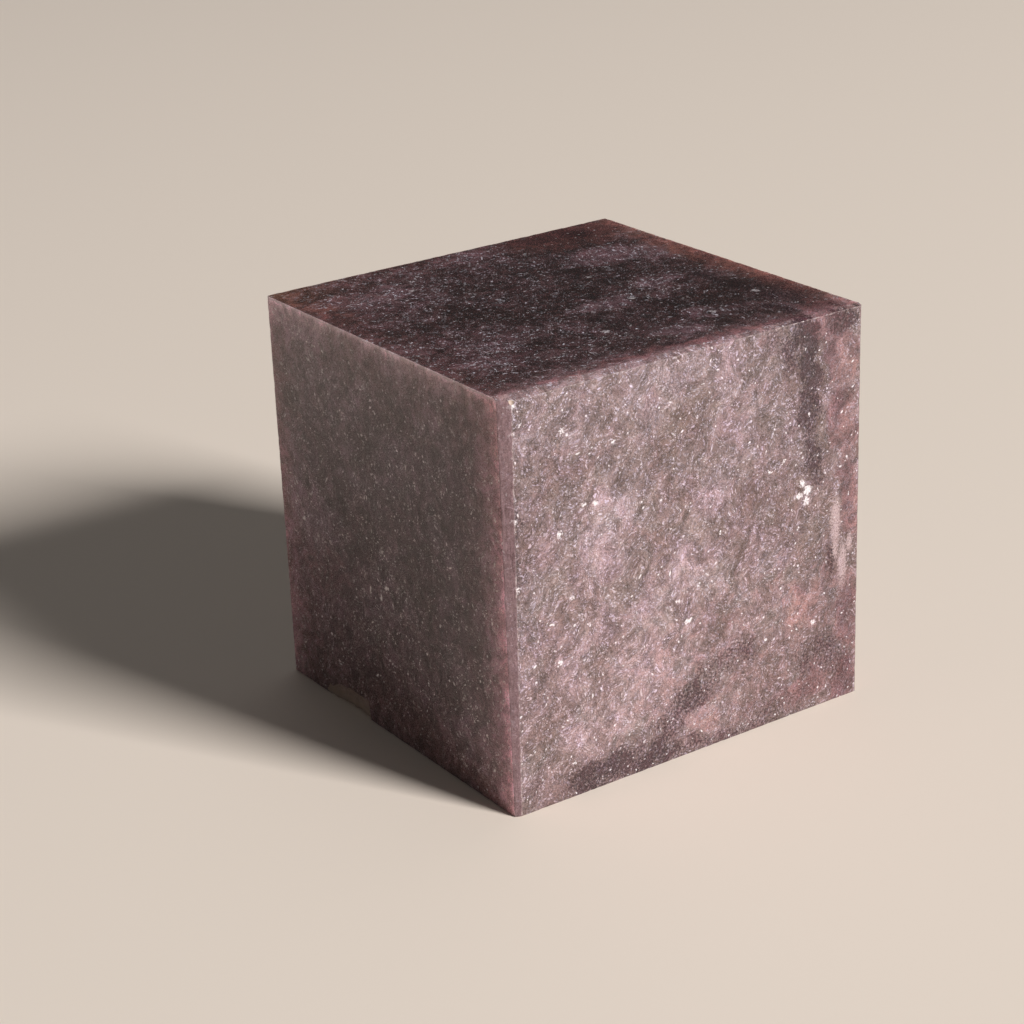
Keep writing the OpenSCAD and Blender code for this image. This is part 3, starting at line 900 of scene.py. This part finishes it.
# Lines of crushed mica along the edges that were ground last.
CRUSHED_GAP, CRUSHED_NUDGE = 0.9, 0.3
chips_along = clouds(tree, point, CRUSHED_GAP, 2.0, 0.7)
nudged = vectors(tree, "ADD", point, scaled(tree, vectors(
    tree, "SUBTRACT", look["Fray"], (0.5, 0.5, 0.5)), CRUSHED_NUDGE))
crushed = 0.0
for start, end, width, strength, gap in (
        (leading_base, leading_top, 0.15, 0.60, 0.48),
        (front_drop, front_drop_right, 0.15, 0.55, 0.50),
        (EDGES["left_top"][0] + DOWN * 0.3 * MM, EDGES["left_top"][1] + DOWN * 0.3 * MM,
         0.22, 0.6, 0.36)):
    line = put(tree, "ShaderNodeGroup", (), node_tree=edge_line)
    tree.links.new(nudged, line.inputs["Point"])
    line.inputs["On Edge"].default_value = start / MM
    line.inputs["Direction"].default_value = (end - start).normalized()
    line.inputs["Width"].default_value = width
    there = sums(tree, "MULTIPLY", line.outputs["Mask"], fade(
        tree, chips_along, gap, gap + 0.15, 0.15, 1.0))
    crushed = sums(tree, "MAXIMUM", crushed, sums(tree, "MULTIPLY", there, strength))

# The leading bevel, ground along its length, is coloured darker than the front and
# drawn out in fine upright lines.
BEVEL_DARK = (0.118, 0.061, 0.067, 1)
BEVEL_PALE = (0.256, 0.153, 0.166, 1)
drawn_up = clouds(tree, vectors(tree, "MULTIPLY", point, (1.0, 1.0, 0.20)), 0.26, 3.0, 0.75)
ground_flat = fade(tree, sums(tree, "ABSOLUTE", facing["X"]), 0.15, 0.35)
ground_flat = sums(tree, "MULTIPLY", ground_flat, fade(
    tree, sums(tree, "ABSOLUTE", facing["Y"]), 0.30, 0.80))
colour = blend(tree, sums(tree, "MULTIPLY", ground_flat, 0.75), colour, blend(
    tree, fade(tree, drawn_up, 0.30, 0.72), BEVEL_DARK, BEVEL_PALE))

# Painted shade on the eased edges, darkest along the right and back edges, standing
# for light that enters there and leaves by the next face.
PAINTED_EDGE_SHADE = (0.030, 0.019, 0.016, 1)
CRUSHED_MICA = (0.50, 0.40, 0.39, 1)
widest_face = sums(tree, "MAXIMUM", sums(tree, "ABSOLUTE", facing["Z"]), sums(
    tree, "MAXIMUM", sums(tree, "ABSOLUTE", facing["X"]), sums(
        tree, "ABSOLUTE", facing["Y"])))
rounded_shade = sums(tree, "MULTIPLY", fade(tree, widest_face, 0.93, 0.80), sums(
    tree, "SUBTRACT", 1.0, ground_flat))
far_edge_shade = sums(tree, "MAXIMUM", fade(tree, from_right, 1.6, 1.1), fade(
    tree, from_back, 2.0, 1.7))
far_edge_shade = sums(tree, "MULTIPLY", far_edge_shade, fade(tree, widest_face, 0.985, 0.90))
colour = blend(tree, sums(tree, "MAXIMUM", sums(tree, "MULTIPLY", rounded_shade, 0.6), sums(
    tree, "MULTIPLY", far_edge_shade, 0.8)), colour, PAINTED_EDGE_SHADE)
colour = blend(tree, crushed, colour, CRUSHED_MICA)
tree.links.new(colour, surface.inputs["Base Color"])

# A satin polish. Each flake takes it a little differently and lies a little off
# the flat, so that some of them glint.
gloss = fade(tree, look["Grain"], 0.3, 0.7, 0.26, 0.36)
gloss = sums(tree, "MULTIPLY_ADD", crushed, 0.25, gloss)
tree.links.new(gloss, surface.inputs["Roughness"])
FLAKE_LEAN = 0.16
lean = scaled(tree, vectors(tree, "SUBTRACT", look["Lean"], (0.5, 0.5, 0.5)), FLAKE_LEAN)
leaned = vectors(tree, "NORMALIZE", vectors(
    tree, "ADD", put(tree, "ShaderNodeNewGeometry").outputs["Normal"], lean))
relief = put(tree, "ShaderNodeBump", {"Height": look["Grain"], "Strength": 0.45,
                                      "Distance": 0.00006, "Normal": leaned})
tree.links.new(relief.outputs["Normal"], surface.inputs["Normal"])
surface.inputs["IOR"].default_value = 1.54
surface.inputs["Subsurface Weight"].default_value = 0.35
surface.inputs["Subsurface Radius"].default_value = (1.0, 0.85, 0.85)
surface.inputs["Subsurface Scale"].default_value = 0.004

# The broken surface in the chips is dull and unpolished, and bared pale where the
# mica split cleanly: along the foot, and in the chips higher up.
BARED_MICA = (0.56, 0.43, 0.34, 1)
fracture.use_nodes = True
tree = fracture.node_tree
surface = tree.nodes["Principled BSDF"]
_, point, look = stone_ground(tree)
height = parts_of(tree, point)["Z"]
bared = sums(tree, "MAXIMUM", fade(tree, height, 0.5, 2.2, 0.75, 0.40),
             fade(tree, height, 3.5, 4.5, 0.0, 0.75))
colour = blend(tree, bared, look["Ground"], BARED_MICA)
colour = blend(tree, sums(tree, "MULTIPLY", look["Threads"], 0.5), colour, THREAD)
# White specks of mica, partly painted glints.
colour = blend(tree, look["White"], colour, WHITE_MICA_AND_GLINT)
tree.links.new(colour, surface.inputs["Base Color"])
surface.inputs["Roughness"].default_value = 0.7

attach(stone, "root")
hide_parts("stone_cube")

# ---------------------------------------------------------------------------
# The studio: a plain warm white floor, one soft key lamp low in front, a weak
# fill from above and faint even light from all round.
# ---------------------------------------------------------------------------
FLOOR_SIZE = 8.0
FLOOR_COLOUR = (0.80, 0.695, 0.60, 1)
EVEN_LIGHT = 0.062
bpy.ops.mesh.primitive_plane_add(size=FLOOR_SIZE, location=(0, 0, low.z))
floor = bpy.context.object
floor.name = "studio_floor"
bpy.ops.object.transform_apply(location=True, rotation=True, scale=True)
paint = bpy.data.materials.new("floor_paint")
paint.use_nodes = True
painted = paint.node_tree.nodes["Principled BSDF"]
painted.inputs["Base Color"].default_value = FLOOR_COLOUR
painted.inputs["Roughness"].default_value = 0.75
floor.data.materials.append(paint)


def soft_lamp(name, azimuth, elevation, distance, size, power):
    """A square area lamp that faces the stone from this direction, in degrees,
    where azimuth 0 is +X and 90 is +Y."""
    a, e = math.radians(azimuth), math.radians(elevation)
    way = Vector((math.cos(a) * math.cos(e), math.sin(a) * math.cos(e), math.sin(e)))
    bpy.ops.object.light_add(type="AREA", location=block_centre + way * distance)
    lamp = bpy.context.object
    lamp.name = name
    lamp.rotation_euler = way.to_track_quat("Z", "Y").to_euler()
    lamp.data.size = size
    lamp.data.energy = power
    return lamp


soft_lamp("key_lamp", azimuth=-68, elevation=30, distance=4.5, size=1.08, power=312)
soft_lamp("top_fill", azimuth=60, elevation=65, distance=2.2, size=1.6, power=3.5)

world = bpy.data.worlds.new("even_light")
world.use_nodes = True
world.node_tree.nodes["Background"].inputs["Color"].default_value = (1, 1, 1, 1)
world.node_tree.nodes["Background"].inputs["Strength"].default_value = EVEN_LIGHT
bpy.context.scene.world = world

# ---------------------------------------------------------------------------
# The camera stands front left, a little above the stone, and looks along it so
# that the front face shows wide and the left face narrow.
# ---------------------------------------------------------------------------
VIEW_AZIMUTH = math.radians(-34.014)
VIEW_ELEVATION = math.radians(22.244)
VIEW_ROLL = math.radians(-2.285)
VIEW_DISTANCE = 6.003 * block_size.z
AIM_RIGHT = -0.1282 * block_size.z
AIM_UP = -0.0401 * block_size.z
LENS = 86.574

toward = Vector((math.sin(VIEW_AZIMUTH) * math.cos(VIEW_ELEVATION),
                 -math.cos(VIEW_AZIMUTH) * math.cos(VIEW_ELEVATION),
                 math.sin(VIEW_ELEVATION)))
level_right = Vector((0, 0, 1)).cross(toward).normalized()
level_up = toward.cross(level_right)
right = level_right * math.cos(VIEW_ROLL) + level_up * math.sin(VIEW_ROLL)
up = level_up * math.cos(VIEW_ROLL) - level_right * math.sin(VIEW_ROLL)
aim = block_centre + right * AIM_RIGHT + up * AIM_UP
bpy.ops.object.camera_add(location=aim + toward * VIEW_DISTANCE)
camera = bpy.context.object
camera.rotation_euler = Matrix((right, up, toward)).transposed().to_euler()
camera.data.lens = LENS
camera.data.sensor_width = 36
camera.data.clip_start = 0.01
bpy.context.scene.camera = camera
bpy.context.scene.view_settings.view_transform = "Standard"
